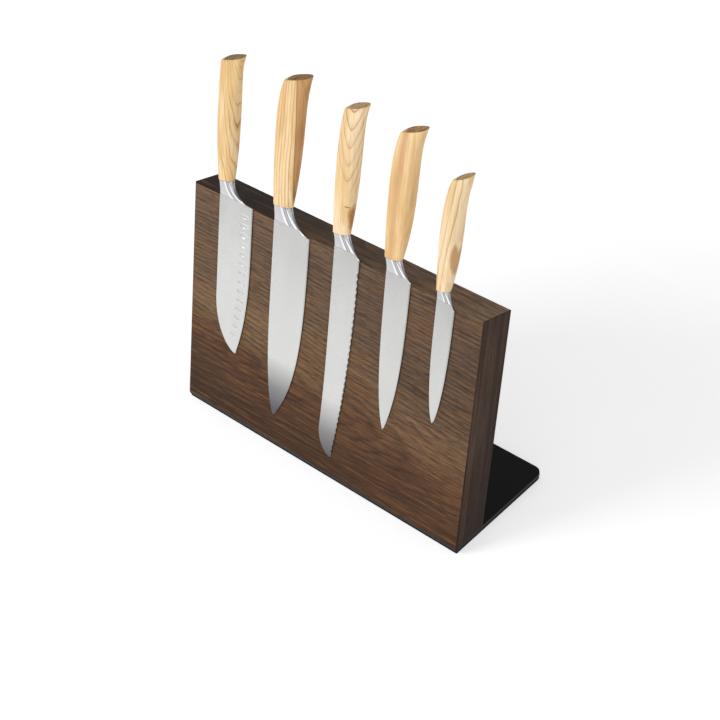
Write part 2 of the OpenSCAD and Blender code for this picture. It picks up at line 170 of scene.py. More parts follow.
def joint_z(k, x):
    """Height of the slanting joint between bolster and handle."""
    neck_spine, neck_edge = k["neck"]
    return k["joint"] + k["rise"] * (x - neck_spine) / (neck_edge - neck_spine)


def guard_top(k):
    return joint_z(k, k["neck"][1] - JOINT_STEP)


def guard_x(k, z):
    """The finger guard's edge at height z above the board's top edge."""
    top = guard_top(k)
    angle = math.asin(clamp((top - z) / (top + k["heel"]), 0, 1) ** (k["guard"] / 2))
    turn = 1 - math.cos(angle) ** (2 / k["guard"])
    return mix(k["neck"][1] - JOINT_STEP, k["width"], turn)


def grip_spine(k, u):
    """The grip's spine side, from the joint (u = 0) to the butt's corner (u = 1)."""
    bowing = 1 - (1 - u) ** k["swell"]
    return k["neck"][0] - k["bow"] * bowing + k["sweep"] * u ** SWEEP_POWER


def grip_edge(k, u):
    swelling = 1 - (1 - u) ** k["swell"]
    return mix(k["neck"][1], k["belly"], swelling) + k["edge_flare"] * u ** EDGE_FLARE_POWER


def grip_half(u):
    end = NECK_HALF_T if u < 0.5 else BUTT_HALF_T
    return mix(end, GRIP_HALF_T, math.sin(math.pi * u))


# ---- mesh helpers ----
def add_object(name, data):
    item = bpy.data.objects.new(name, data)
    bpy.context.scene.collection.objects.link(item)
    return item


def on_face(x, out, up):
    """A point x across from the board's middle, out from its face and up the slope."""
    return FOOT + Vector((x, 0, 0)) + PULL * out + FACE_UP * up


def new_piece(name, verts, faces, material, body, node, sharp_angle):
    """A smooth-shaded mesh that rides on a body and stands for one of its CAD nodes."""
    mesh = bpy.data.meshes.new(name)
    mesh.from_pydata([tuple(v) for v in verts], [], faces)
    mesh.validate()
    mesh.polygons.foreach_set("use_smooth", [True] * len(mesh.polygons))
    mesh.set_sharp_from_angle(angle=math.radians(sharp_angle))
    mesh.materials.append(material)
    piece = add_object(name, mesh)
    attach(piece, body)
    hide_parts(node)
    return piece


def skin(rings):
    """Faces over a row of closed rings of equal length, with both ends capped."""
    n = len(rings[0])
    last = (len(rings) - 1) * n
    faces = [[j for j in range(n - 1, -1, -1)], [last + j for j in range(n)]]
    for i in range(len(rings) - 1):
        for j in range(n):
            a = i * n + j
            b = i * n + (j + 1) % n
            faces.append([a, b, b + n, a + n])
    return [v for ring in rings for v in ring], faces


def place_of(name):
    """Where the knife's spine line stands across the board, from its CAD blade."""
    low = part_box(name + "_blade")[0]
    return low[0] + KNIVES[name]["flare"]


# ---- blades ----
GROUND_BEVEL = 0.0011
SPINE_ROUND = 0.00018
EDGE_LIP = 0.00006
# the edge stands clear of the board, because the back is ground too
EDGE_LIFT = 0.0008
EDGE_FACE = 0.0011
BACK_GRIND = 0.010
BACK_FULL_W = 0.012
# on a narrow ring the bevel and the back's grind take these shares of its width
BEVEL_SHARE = 0.4
GRIND_SHARE = 0.5
# the finger guard's edge is flat over this share of its thickness
GUARD_FLAT = 0.6
LEAST_W = 0.0002
LEAST_SIDE = 0.0001
BLADE_COLUMNS = 56
ROW_STEP = 0.00045
# closer rows over the last stretch, which ends a hair before the tip
TIP_STRETCH = 0.004
TIP_ROWS = 18
TIP_STOP = 0.00002
ROW_DIGITS = 7


def blade_edge(name, k, d):
    """The cutting edge at depth d, with the finger guard above the heel and any scallops."""
    if d < k["heel"]:
        return guard_x(k, -d)
    x = edge_x(k, d)
    if name == "bread":
        half = SERRATION["pitch"] / 2
        first = SERRATION["first"] - half
        end = k["length"] - SERRATION["stop"]
        if first < d < end:
            off = (d - first) % SERRATION["pitch"] - half
            x -= SERRATION["depth"] * (1 - (off / half) ** 2)
    return x


def hollow_depth(k, x, d):
    """How deep the santoku's ground ovals are at a point of its face."""
    i = round((d - HOLLOW["first"]) / HOLLOW["pitch"])
    if not 0 <= i < HOLLOW["count"]:
        return 0.0
    middle = HOLLOW["first"] + i * HOLLOW["pitch"]
    across = (x - edge_x(k, middle) + HOLLOW["from_edge"]) / HOLLOW["half_w"]
    along = (d - middle) / HOLLOW["half_h"]
    return HOLLOW["depth"] * max(0.0, 1 - across * across - along * along)


def blade_ring(name, k, d):
    """The blade's closed cross-section at depth d, as points (x, out)."""
    left = spine_x(k, max(d, 0))
    right = blade_edge(name, k, d)
    width = max(right - left, LEAST_W)
    body_x = edge_x(k, max(d, 0))
    bevel = min(GROUND_BEVEL, width * BEVEL_SHARE)
    lift = EDGE_LIFT * min(1, width / BACK_FULL_W)
    back_x = right - min(BACK_GRIND, width * GRIND_SHARE)
    front = []
    for c in range(BLADE_COLUMNS + 1):
        x = mix(left + SPINE_ROUND, right - bevel, c / BLADE_COLUMNS)
        x = max(x, left)
        out = mix(EDGE_FACE, k["spine_t"], clamp((body_x - x) / k["width"], 0, 1))
        if name == "santoku":
            out -= hollow_depth(k, x, d)
        front.append((x, out))
    side = front[0][1] - SPINE_ROUND
    lip = lift + (EDGE_LIP if d > k["heel"] else (front[-1][1] - lift) * GUARD_FLAT)
    back = [(right, lip), (right, lift), (back_x, 0.0)]
    return [(left, 0.0), (left, max(side, LEAST_SIDE))] + front + back


def blade_depths(k):
    """Rows from the bolster down to the tip, closer together near the tip."""
    top = -k["line"]
    near_tip = k["length"] - TIP_STRETCH
    rows = int((near_tip - top) / ROW_STEP)
    depths = [mix(top, near_tip, i / rows) for i in range(rows + 1)]
    depths.append(k["heel"])
    for i in range(1, TIP_ROWS + 1):
        depths.append(mix(near_tip, k["length"], math.sin(math.pi / 2 * i / TIP_ROWS)))
    depths = sorted(set(round(d, ROW_DIGITS) for d in depths))
    return depths[:-1] + [k["length"] - TIP_STOP]


def make_blade(name, k, material):
    """One blade, ground on both sides near its edge."""
    x0 = place_of(name)
    rings = []
    for d in blade_depths(k):
        rings.append([on_face(x0 + x, HANG_GAP + out, FACE_H - d)
                      for x, out in blade_ring(name, k, d)])
    verts, faces = skin(rings)
    return new_piece(name + "_blade_ground", verts, faces, material, k["body"],
                     name + "_blade", sharp_angle=12)


# ---- bolsters and handles ----
RING_POINTS = 160
BOLSTER_RINGS = 40
GRIP_RINGS = 70
BUTT_RINGS = 18
CORNER_BREAK = 0.0003
# the bolster starts this much thinner than the blade, and reaches its full thickness late
LINE_GROOVE = 0.00012
BOLSTER_SWELL = 1.5
FLUTE_DEPTH = 0.00017
FLUTE_START = 0.50
FLUTE_PITCH = 0.16
# the butt's corner turns early upwards and late across
BUTT_TURN = (0.25, 0.75)
FACET_SLANT = 0.3


def flute(f, depth):
    """Two shallow flutes that follow the finger guard down a bolster's front."""
    along = clamp((f - FLUTE_START) / FLUTE_PITCH, 0, 2)
    return depth * math.sin(2 * math.pi * along)


def ring_point(j, roundness):
    """A ring's point j: how far it stands across, 0 at the spine side and 1 at the edge side,
    and how far it bulges, from -1 at the back to 1 at the front."""
    a = 2 * math.pi * j / RING_POINTS
    n = roundness[0] if math.cos(a) < 0 else roundness[1]
    return (signed_pow(math.cos(a), 2 / n) + 1) / 2, signed_pow(math.sin(a), 2 / n)


def oval(x0, left, right, half, mid, roundness, flutes=0.0, slant=0.0):
    """One closed ring between a spine-side and an edge-side point (x, z).

    half and mid hold its half thickness and its middle's height off the board at those two
    sides, flutes is the depth of the flutes, and slant tips the ring down to the front."""
    points = []
    for j in range(RING_POINTS):
        f, bulge = ring_point(j, roundness)
        x, z = mix2(left, right, f)
        off_middle = bulge * mix(half[0], half[1], f)
        out = mix(mid[0], mid[1], f) + off_middle
        if bulge > 0:
            out += flute(f, flutes * bulge)
        points.append(on_face(x0 + x, HANG_GAP + out, FACE_H + z - slant * off_middle))
    return points


def make_bolster(name, k, material):
    """One bolster, from the blade's section at its foot to the handle's at its neck."""
    x0 = place_of(name)
    blade_half = k["spine_t"] / 2
    full = NECK_HALF_T - JOINT_STEP
    spine_end = k["neck"][0] + JOINT_STEP
    rings = []
    places = []
    for i in range(BOLSTER_RINGS + 1):
        f = i / BOLSTER_RINGS
        roundness = mix2(FOOT_ROUND, NECK_ROUND, f)
        places += [(ring_point(j, roundness)[0], f) for j in range(RING_POINTS)]
        left = (mix(0, spine_end, f * f), mix(k["line"], joint_z(k, spine_end), f))
        right_z = mix(k["line"], guard_top(k), f)
        right = (guard_x(k, right_z), right_z)
        thin = mix(blade_half, EDGE_FACE / 2, right[0] / k["width"])
        swell = f ** BOLSTER_SWELL
        groove = LINE_GROOVE if i == 0 else 0.0
        half = (mix(blade_half, full, swell) - groove, mix(thin, full, swell) - groove)
        mid = (blade_half, mix(thin, blade_half, f))
        rings.append(oval(x0, left, right, half, mid, roundness, flutes=FLUTE_DEPTH * swell))
    verts, faces = skin(rings)
    piece = new_piece(name + "_bolster_polished", verts, faces, material, k["body"],
                      name + "_bolster", sharp_angle=40)
    # across and along the bolster, for the painted reflection bands that follow the flutes
    layer = piece.data.uv_layers.new(name="across_and_along")
    for loop in piece.data.loops:
        layer.data[loop.index].uv = places[loop.vertex_index]
    return piece


def bezier2(a, b, c, f):
    return mix2(mix2(a, b, f), mix2(b, c, f), f)


def make_handle(name, k, material, facet_material):
    """One handle: the grip, the butt's turn towards the edge side, and its flat facet."""
    x0 = place_of(name)
    mid = (k["spine_t"] / 2, k["spine_t"] / 2)
    spine_side, edge_side = k["neck"]
    # the lower end's corner is just broken
    half = NECK_HALF_T - CORNER_BREAK
    spine_in = spine_side + CORNER_BREAK
    edge_in = edge_side - CORNER_BREAK
    rings = [oval(x0, (spine_in, joint_z(k, spine_in)), (edge_in, joint_z(k, edge_in)),
                  (half, half), mid, GRIP_ROUND)]
    for i in range(GRIP_RINGS + 1):
        u = i / GRIP_RINGS
        lift = CORNER_BREAK if i == 0 else 0
        half = grip_half(u)
        left = (grip_spine(k, u), mix(k["joint"], k["corner"], u) + lift)
        right = (grip_edge(k, u), mix(k["joint"] + k["rise"], k["corner"], u) + lift)
        rings.append(oval(x0, left, right, (half, half), mid, GRIP_ROUND))
    left = (grip_spine(k, 1), k["corner"])
    right = (grip_edge(k, 1), k["corner"])
    size = k["size"]
    left_turn = (left[0] + size * BUTT_TURN[0], left[1] + size * BUTT_TURN[1])
    left_end = (left[0] + size, left[1] + size)
    right_turn = mix2(right, k["beak"], 0.5)
    right_turn = (right_turn[0] - BEAK_HOLLOW, right_turn[1])
    last_turn = 1 - CORNER_BREAK / size
    for i in range(1, BUTT_RINGS + 1):
        f = last_turn * i / BUTT_RINGS
        rings.append(oval(x0, bezier2(left, left_turn, left_end, f),
                          bezier2(right, right_turn, k["beak"], f),
                          (BUTT_HALF_T, BUTT_HALF_T), mid, GRIP_ROUND, slant=FACET_SLANT * f))
    # the facet's rim is just broken too
    inset = CORNER_BREAK / math.dist(left_end, k["beak"])
    half = BUTT_HALF_T - CORNER_BREAK
    rings.append(oval(x0, mix2(left_end, k["beak"], inset), mix2(left_end, k["beak"], 1 - inset),
                      (half, half), mid, GRIP_ROUND, slant=FACET_SLANT))
    verts, faces = skin(rings)
    piece = new_piece(name + "_handle_carved", verts, faces, material, k["body"],
                      name + "_handle", sharp_angle=30)
    # the second face of the skin caps the last ring: the butt's facet
    piece.data.materials.append(facet_material)
    piece.data.polygons[1].material_index = 1
    return piece


# ---- materials: all colours are sRGB, 0 to 255 ----
class Nodes:
    """Short calls for building one node material."""

    def __init__(self, name):
        self.material = bpy.data.materials.new(name)
        self.material.use_nodes = True
        self.tree = self.material.node_tree
        self.shader = self.tree.nodes["Principled BSDF"]

    def feed(self, socket, value):
        """Links a node's output to a socket, or sets the socket to a plain value."""
        if isinstance(value, bpy.types.NodeSocket):
            self.tree.links.new(value, socket)
        else:
            socket.default_value = value

    def new(self, kind, **inputs):
        node = self.tree.nodes.new(kind)
        for key, value in inputs.items():
            self.feed(node.inputs[key.replace("_", " ")], value)
        return node

    def set(self, **inputs):
        for key, value in inputs.items():
            self.feed(self.shader.inputs[key.replace("_", " ")], value)

    def coordinates(self, kind="Object"):
        return self.tree.nodes.new("ShaderNodeTexCoord").outputs[kind]

    def split(self, vector):
        return self.new("ShaderNodeSeparateXYZ", Vector=vector).outputs

    def math(self, operation, a, b=0.0):
        node = self.tree.nodes.new("ShaderNodeMath")
        node.operation = operation
        self.feed(node.inputs[0], a)
        self.feed(node.inputs[1], b)
        return node.outputs[0]

    def add(self, a, b):
        return self.math("ADD", a, b)

    def less(self, a, b):
        return self.math("SUBTRACT", a, b)

    def times(self, a, b):
        return self.math("MULTIPLY", a, b)

    def swing(self, noise, reach):
        """Noise moved to run about 0, over the given reach."""
        return self.times(self.less(noise, 0.5), reach)

    def distance(self, a, b):
        return self.math("SQRT", self.add(self.times(a, a), self.times(b, b)))

    def pick(self, fac, a, b):
        """The value a, or b where fac is 1."""
        node = self.new("ShaderNodeMix", Factor=fac)
        self.feed(node.inputs[2], a)
        self.feed(node.inputs[3], b)
        return node.outputs[0]

    def noise(self, vector, scale, detail=3.0, rough=0.55, distortion=0.0):
        node = self.new("ShaderNodeTexNoise", Vector=vector, Scale=scale, Detail=detail,
                        Roughness=rough, Distortion=distortion)
        return node.outputs["Fac"]

    def mapped(self, vector, scale=(1, 1, 1), offset=(0, 0, 0), turn=(0, 0, 0)):
        node = self.new("ShaderNodeMapping", Vector=vector)
        node.inputs["Location"].default_value = offset
        node.inputs["Rotation"].default_value = turn
        node.inputs["Scale"].default_value = scale
        return node.outputs[0]

    def cells(self, vector, per_metre, detail=3.0, rough=0.55, distortion=0.0, **place):
        """Noise with its own number of cells per metre along each of the vector's axes."""
        return self.noise(self.mapped(vector, per_metre, **place), 1.0, detail, rough, distortion)

    def ramp(self, value, stops):
        """A colour ramp; stops are (place, colour) or (place, plain value)."""
        node = self.tree.nodes.new("ShaderNodeValToRGB")
        self.feed(node.inputs[0], value)
        elements = node.color_ramp.elements
        while len(elements) < len(stops):
            elements.new(0.5)
        for element, (place, colour) in zip(elements, stops):
            element.position = place
            element.color = rgb(colour) if isinstance(colour, tuple) else (colour,) * 3 + (1,)
        return node.outputs[0]

    def blend(self, fac, a, b):
        """The colour a, or b where fac is 1."""
        node = self.tree.nodes.new("ShaderNodeMix")
        node.data_type = "RGBA"
        for i, value in ((0, fac), (6, a), (7, b)):
            self.feed(node.inputs[i], rgb(value) if isinstance(value, tuple) else value)
        return node.outputs[2]

    def bump(self, height, strength, distance):
        node = self.new("ShaderNodeBump", Height=height, Strength=strength, Distance=distance)
        self.feed(self.shader.inputs["Normal"], node.outputs[0])


def rgb(colour):
    """sRGB 0-255 to a linear colour with alpha."""
    linear = []
    for c in colour:
        c /= 255
        linear.append(c / 12.92 if c <= 0.04045 else ((c + 0.055) / 1.055) ** 2.4)
    return (*linear, 1.0)


def face_coordinates(m):
    """Object coordinates turned to the board's face: x across, y into the wood, z up the slope."""
    moved = m.mapped(m.coordinates(), offset=tuple(-FOOT))
    return m.mapped(moved, turn=(LEAN, 0, 0))


# ---- the board's smoked wood ----
# growth rings: where the pith lies, how it slopes, one ring's width, and how the rings wander
PITH_UP = 0.068
PITH_FALL = -0.01
PITH_DEEP = 0.040
PITH_TILT = 0.10
RING_WIDTH = 0.0039
RING_WANDER = 0.030
RING_RIPPLE = 0.006
# darkness over one growth ring
LATE_WOOD = [(0.0, 0.5), (0.10, 0.0), (0.5, 0.05), (0.80, 0.55), (0.92, 1.0), (1.0, 0.5)]
# the ends show another part of the log: shifts in metres, and scales
END_ALONG = 0.9
END_ACROSS = 0.3
END_SQUEEZE = 1.6
END_DEEP = 0.2
# how far inside the CAD's outline a point still counts as lying on the top or an end
SURFACE_DEPTH = EDGE_FLAT + 0.0001
# the stain from the foot (0) to the top edge (1), and how far it moves to the right and in patches
FRONT_TONES = [(0.0, (70, 45, 28)), (0.12, (84, 56, 36)), (0.26, (94, 66, 45)),
               (0.36, (108, 80, 56)), (0.50, (130, 103, 75)), (0.62, (113, 90, 68)),
               (0.80, (108, 87, 70)), (1.0, (119, 94, 74))]
TONE_TO_RIGHT = 0.04
TONE_PATCHES = 0.55
HIGH_RIGHT_TONE = (72, 53, 46)
LOW_LEFT_TONE = (46, 32, 24)
# the top's tone from left to right: its dark left is a painted shadow of the handles
TOP_LEFT_PAINTED_SHADOW_TONE = (44, 34, 27)
TOP_RIGHT_TONE = (154, 128, 101)
END_TONES = [(0.36, (44, 30, 22)), (0.50, (62, 44, 32)), (0.64, (84, 64, 50))]
FRONT_AMBER = (140, 96, 50)
END_AMBER = (92, 66, 44)
STREAK_TONE = (44, 29, 20)
RING_TONE = (40, 27, 20)
STRIPE_TONE = (30, 21, 17)
PORE_TONE = (36, 24, 17)


def board_rings(m, grain, along, across, deep):
    """Late wood: rings round a pith that slopes away along the board, so they close in arches."""
    slow = m.cells(grain, (4, 13, 13), 2.0, 0.45)
    ripple = m.cells(grain, (17, 60, 60), 2.0, 0.5)
    pith_up = m.add(PITH_UP, m.times(along, PITH_FALL))
    off_up = m.add(m.less(across, pith_up), m.swing(slow, RING_WANDER))
    off_deep = m.add(PITH_DEEP, m.add(m.times(along, PITH_TILT), deep))
    far = m.add(m.distance(off_up, off_deep), m.times(ripple, RING_RIPPLE))
    late = m.ramp(m.math("FRACT", m.math("DIVIDE", far, RING_WIDTH)), LATE_WOOD)
    strength = m.cells(grain, (9, 34, 34), 3.0, 0.6, offset=(4.2, 1.1, 0))
    return m.times(late, m.ramp(strength, [(0.36, 0.25), (0.62, 1.0)]))


def board_tone(m, x, z, at_end, patch):
    """The stain: red-brown low down, greyer higher up, dark on the ends; on the top, a painted
    shadow of the handles darkens its left.
    """
    height = m.math("DIVIDE", z, FACE_H)
    rightness = m.add(m.times(x, 0.5 / HALF_W), 0.5)
    zone = m.add(m.add(height, m.times(x, TONE_TO_RIGHT / HALF_W)), m.swing(patch, TONE_PATCHES))
    front = m.ramp(zone, FRONT_TONES)
    to_right = m.ramp(rightness, [(0.25, 0.0), (1.0, 1.0)])
    high_right = m.times(to_right, m.ramp(height, [(0.30, 0.0), (0.50, 0.38)]))
    front = m.blend(high_right, front, HIGH_RIGHT_TONE)
    low_left = m.times(m.ramp(height, [(0.10, 0.45), (0.26, 0.0)]),
                       m.ramp(rightness, [(0.05, 1.0), (0.38, 0.0)]))
    front = m.blend(low_left, front, LOW_LEFT_TONE)
    # painted shadow of the handles on the top, fading out towards the right
    top = m.blend(to_right, TOP_LEFT_PAINTED_SHADOW_TONE, TOP_RIGHT_TONE)
    at_top = m.math("GREATER_THAN", z, FACE_H - SURFACE_DEPTH)
    return m.blend(at_end, m.blend(at_top, front, top), m.ramp(patch, END_TONES))


def smoked_wood():
    """Dark smoked open-grained wood: flat-sawn on the face, upright grain on the ends."""
    m = Nodes("smoked_wood_look")
    x, y, z = m.split(face_coordinates(m))
    at_end = m.math("GREATER_THAN", m.math("ABSOLUTE", x), HALF_W - SURFACE_DEPTH)

    # grain coordinates: along the grain, and the two across it
    along = m.pick(at_end, x, m.add(z, END_ALONG))
    across = m.pick(at_end, z, m.add(m.times(y, END_SQUEEZE), END_ACROSS))
    deep = m.pick(at_end, y, m.times(x, END_DEEP))
    grain = m.new("ShaderNodeCombineXYZ", X=along, Y=across, Z=deep).outputs[0]

    # pores are fine dark dashes along the grain; streaks are longer, patches wider
    pores = m.ramp(m.cells(grain, (75, 800, 800), 3.0, 0.65), [(0.49, 0.0), (0.60, 1.0)])
    streak = m.cells(grain, (14, 330, 330), 4.0, 0.65)
    patch = m.cells(grain, (6, 24, 24), 3.0, 0.5, offset=(2.6, 0, 1.7))
    late = board_rings(m, grain, along, across, deep)

    colour = board_tone(m, x, z, at_end, patch)
    amber = m.blend(at_end, FRONT_AMBER, END_AMBER)
    colour = m.blend(m.ramp(streak, [(0.50, 0.0), (0.66, 0.50)]), colour, amber)
    colour = m.blend(m.ramp(streak, [(0.36, 0.50), (0.50, 0.0)]), colour, STREAK_TONE)
    colour = m.blend(m.times(late, 0.62), colour, RING_TONE)
    stripe = m.ramp(m.cells(grain, (4, 110, 110), 2.0, 0.5), [(0.40, 0.65), (0.56, 0.0)])
    colour = m.blend(m.times(stripe, at_end), colour, STRIPE_TONE)
    colour = m.blend(m.times(pores, 0.45), colour, PORE_TONE)
    m.set(Base_Color=colour, Roughness=m.ramp(streak, [(0.3, 0.46), (0.7, 0.58)]))
    m.set(Specular_IOR_Level=0.09)
    sunk = m.add(m.times(pores, 0.8), m.times(late, 0.3))
    m.bump(m.less(m.times(streak, 0.4), sunk), 0.3, 0.0003)
    return m.material


# ---- the handles' olive wood ----
# veins that start part of the way up fade in over this length
VEIN_FADE = 0.018
FROM_BELOW = -1
# how finely the rings are told apart when each gets its own strength
RING_PICK = 7.3
# one over the width of the seam at which a plain zone begins
SEAM = 700
VEIN_TONE = (146, 88, 32)
STREAK_TAN = (200, 148, 82)
FIBRE_TAN = (160, 112, 60)
# the plain zone's tones: plainer grain darkened by painted shade of the handle's side face; the
# seam tone is a painted shade line
PLAIN_SHADED_LIGHT = (198, 152, 99)
PLAIN_SHADED_DEEP = (174, 128, 78)
SEAM_PAINTED_SHADE_TONE = (120, 76, 34)
RED_STRIPE = (206, 156, 112)
SPOT_TONE = (168, 106, 46)
FACET_PORE = (92, 62, 34)


def olive_veins(m, local, mid, figure):
    """Brown lines: growth rings round a pith beside the handle, each of its own strength."""
    x, y, z = m.split(local)
    seed = figure["seed"]
    slow = m.cells(local, (34, 34, 13), 2.0, 0.5, 0.3, offset=seed)
    bend_x = m.add(m.swing(slow, figure["warp"]), m.swing(mid, figure["wiggle"]))
    off_x = m.add(m.less(x, figure["pith"][0]), m.add(m.times(z, figure["lean"]), bend_x))
    off_y = m.add(m.add(figure["pith"][1], m.times(z, figure.get("dip", 0.0))), y)
    far = m.add(m.distance(off_x, off_y), m.times(z, figure.get("cone", 0.0)))
    rings = m.math("DIVIDE", far, figure["ring"])
    line = m.ramp(m.math("FRACT", rings), figure["profile"])
    # every ring has its own strength, and fades in and out along the handle
    own = m.noise(m.math("FLOOR", rings), RING_PICK, 0.0)
    local_strength = m.cells(local, (60, 60, 16), 2.0, offset=(seed[2], seed[0], 4))
    strength = m.add(m.times(own, 0.5), m.times(local_strength, 0.5))
    line = m.times(line, m.ramp(strength, [(0.38, 0.12), (0.58, 1.0)]))
    begun = m.times(m.less(z, figure.get("start", FROM_BELOW)), 1 / VEIN_FADE)
    return m.times(line, m.ramp(begun, [(0.0, 0.15), (1.0, 1.0)]))


def with_plain_zone_and_painted_shade(m, colour, x, z, streak, plain):
    """Adds plainer, darker wood on the edge side of a bowed dark seam: the plainer grain is the
    wood's own, its darker tone is painted shade of the handle's side face, and the seam is a
    painted shade line where the front turns into that side.
    """
    middle, height, curve = plain
    off_z = m.less(z, height)
    beyond = m.add(m.less(x, middle), m.times(m.times(off_z, off_z), curve))
    side = m.ramp(m.add(m.times(beyond, SEAM), 0.5), [(0.4, 0.0), (0.6, 1.0)])
    flat = m.blend(m.ramp(streak, [(0.4, 0.0), (0.65, 1.0)]), PLAIN_SHADED_LIGHT, PLAIN_SHADED_DEEP)
    colour = m.blend(side, colour, flat)
    # painted shade line along the seam, where the handle's front turns into its side
    off_seam = m.math("ABSOLUTE", m.times(beyond, 2 * SEAM))
    return m.blend(m.ramp(off_seam, [(0.3, 0.60), (0.95, 0.0)]), colour, SEAM_PAINTED_SHADE_TONE)


def with_stripe(m, colour, x, z, mid, stripe):
    """Adds a redder stripe that runs up the handle."""
    middle = m.add(stripe[0], m.times(z, stripe[1]))
    off = m.math("ABSOLUTE", m.math("DIVIDE", m.less(x, middle), stripe[2]))
    off = m.add(off, m.less(mid, 0.5))
    return m.blend(m.ramp(off, [(0.6, 0.6), (1.0, 0.0)]), colour, RED_STRIPE)


def with_spot(m, colour, x, z, mid, spot):
    """Adds a soft-edged, ragged brown patch."""
    place_x, place_z, half_w, half_h, strength = spot
    across = m.math("DIVIDE", m.less(x, place_x), half_w)
    along = m.math("DIVIDE", m.less(z, place_z), half_h)
    far = m.add(m.times(across, across), m.times(along, along))
    ragged = m.add(far, m.swing(mid, 1.6))
    return m.blend(m.ramp(ragged, [(0.35, strength), (1.0, 0.0)]), colour, SPOT_TONE)


def olive_wood(name, x0, figure):
    """Pale olive wood with brown veins, along the handle, different for each knife."""
    m = Nodes(name + "_olive_wood_look")
    local = m.mapped(face_coordinates(m), offset=(-x0, 0, -FACE_H))
    x, _, z = m.split(local)
    seed = figure["seed"]
    mid = m.cells(local, (150, 150, 38), 3.0, 0.55, 0.5, offset=seed)
    fibre = m.cells(local, (1300, 1300, 60), 2.0, 0.6)
    streak = m.cells(local, (420, 420, 18), 2.0, 0.6, offset=seed)
    patch = m.cells(local, (70, 70, 14), 2.0, offset=(seed[1], 7, seed[2]))
    line = olive_veins(m, local, mid, figure)
    light, deep = figure["tones"]
    colour = m.blend(m.ramp(patch, [(0.40, 0.0), (0.62, 1.0)]), light, deep)
    colour = m.blend(m.ramp(streak, [(0.46, 0.0), (0.66, 0.32)]), colour, STREAK_TAN)
    colour = m.blend(m.times(line, figure["vein"]), colour, VEIN_TONE)
    if "plain" in figure:
        colour = with_plain_zone_and_painted_shade(m, colour, x, z, streak, figure["plain"])
    if "stripe" in figure:
        colour = with_stripe(m, colour, x, z, mid, figure["stripe"])
    for spot in figure.get("spots", ()):
        colour = with_spot(m, colour, x, z, mid, spot)
    colour = m.blend(m.ramp(fibre, [(0.45, 0.0), (0.7, 0.18)]), colour, FIBRE_TAN)
    m.set(Base_Color=colour, Roughness=m.ramp(fibre, [(0.3, 0.40), (0.7, 0.50)]))
    m.set(Specular_IOR_Level=0.25)
    m.bump(m.add(m.times(fibre, 0.4), m.times(line, -0.2)), 0.15, 0.00006)
    return m.material


def olive_end_grain(name, seed, tones):
    """The butt's sawn facet: darker end grain with close rings."""
    m = Nodes(name + "_olive_end_look")
    face = face_coordinates(m)
    rings = m.cells(face, (420, 190, 60), 3.0, 0.6, 0.8, offset=seed, turn=(0, 0, 0.5))
    pores = m.cells(face, (2400, 2400, 2400), 2.0)
    colour = m.ramp(rings, [(0.34, tones[0]), (0.50, tones[1]), (0.62, tones[2])])
    colour = m.blend(m.ramp(pores, [(0.5, 0.0), (0.65, 0.3)]), colour, FACET_PORE)
    m.set(Base_Color=colour, Roughness=m.ramp(rings, [(0.3, 0.5), (0.7, 0.6)]))
    m.set(Specular_IOR_Level=0.2)
    m.bump(pores, 0.1, 0.00005)
    return m.material


# ---- steel and the other materials ----
SATIN_DARK = (194, 194, 192)
SATIN_LIGHT = (209, 209, 206)
PAINTED_REFLECTION_STEEL = (92, 92, 96)
# painted reflection bands over a bolster's width: light bands, and a dark line at the bottom of
# each flute
PAINTED_REFLECTION_BANDS = [(0.0, (196, 196, 198)), (0.44, (190, 190, 192)), (0.50, (236, 236, 236)),
                (0.585, (228, 228, 230)), (0.618, (92, 93, 97)), (0.655, (172, 173, 177)),
                (0.745, (178, 179, 183)), (0.778, (92, 93, 97)), (0.82, (232, 232, 234)),
                (0.95, (232, 232, 234)), (1.0, (150, 151, 155))]
# how dark the painted shade at its two joints is, from the blade (0) to the handle (1)
JOINT_PAINTED_SHADE_BANDS = [(0.0, 0.45), (0.025, 0.0), (0.955, 0.0), (0.985, 0.75)]
JOINT_PAINTED_SHADE_TONE = (62, 60, 58)
WIPE_TONE = (208, 208, 209)
HIDDEN_ROUGH_SPREAD = 0.05


def satin_steel(name, painted_reflection=None):
    """Blades: fine grinding lines across; between the two given heights, a tip darkens with a
    painted dark reflection.
    """
    m = Nodes(name)
    face = face_coordinates(m)
    lines = m.cells(face, (120, 120, 5200), 2.0, 0.6)
    cloud = m.cells(face, (30, 30, 14), 3.0, 0.5)
    both = m.add(m.times(lines, 0.5), m.times(cloud, 0.5))
    colour = m.ramp(both, [(0.3, SATIN_DARK), (0.7, SATIN_LIGHT)])
    if painted_reflection:
        low, high = painted_reflection
        height = m.times(m.less(m.split(face)[2], low), 1 / (high - low))
        # painted dark reflection over the tip, strongest low down
        colour = m.blend(m.ramp(height, [(0.0, 1.0), (0.4, 0.75), (1.0, 0.0)]), colour,
                         PAINTED_REFLECTION_STEEL)
    m.set(Base_Color=colour, Metallic=1.0)
    m.set(Roughness=m.ramp(cloud, [(0.3, 0.24), (0.7, 0.29)]))
    m.bump(lines, 0.02, 0.00002)
    return m.material


def polished_steel():
    """Bolsters: mirror polish, with painted reflection bands that darken the bottom of the flutes,
    and painted shade at both joints.
    """
    m = Nodes("polished_steel_look")
    wipe = m.cells(face_coordinates(m), (60, 60, 40), 1.0, 0.4)
    across, along, _ = m.split(m.coordinates("UV"))
    # painted reflection bands across the bolster, and painted shade at its two joints
    painted_reflections_and_shade = m.blend(m.ramp(along, JOINT_PAINTED_SHADE_BANDS), m.ramp(across, PAINTED_REFLECTION_BANDS), JOINT_PAINTED_SHADE_TONE)
    m.set(Base_Color=m.blend(m.times(wipe, 0.1), painted_reflections_and_shade, WIPE_TONE))
    m.set(Metallic=1.0, Roughness=m.ramp(wipe, [(0.3, 0.11), (0.7, 0.14)]))
    return m.material


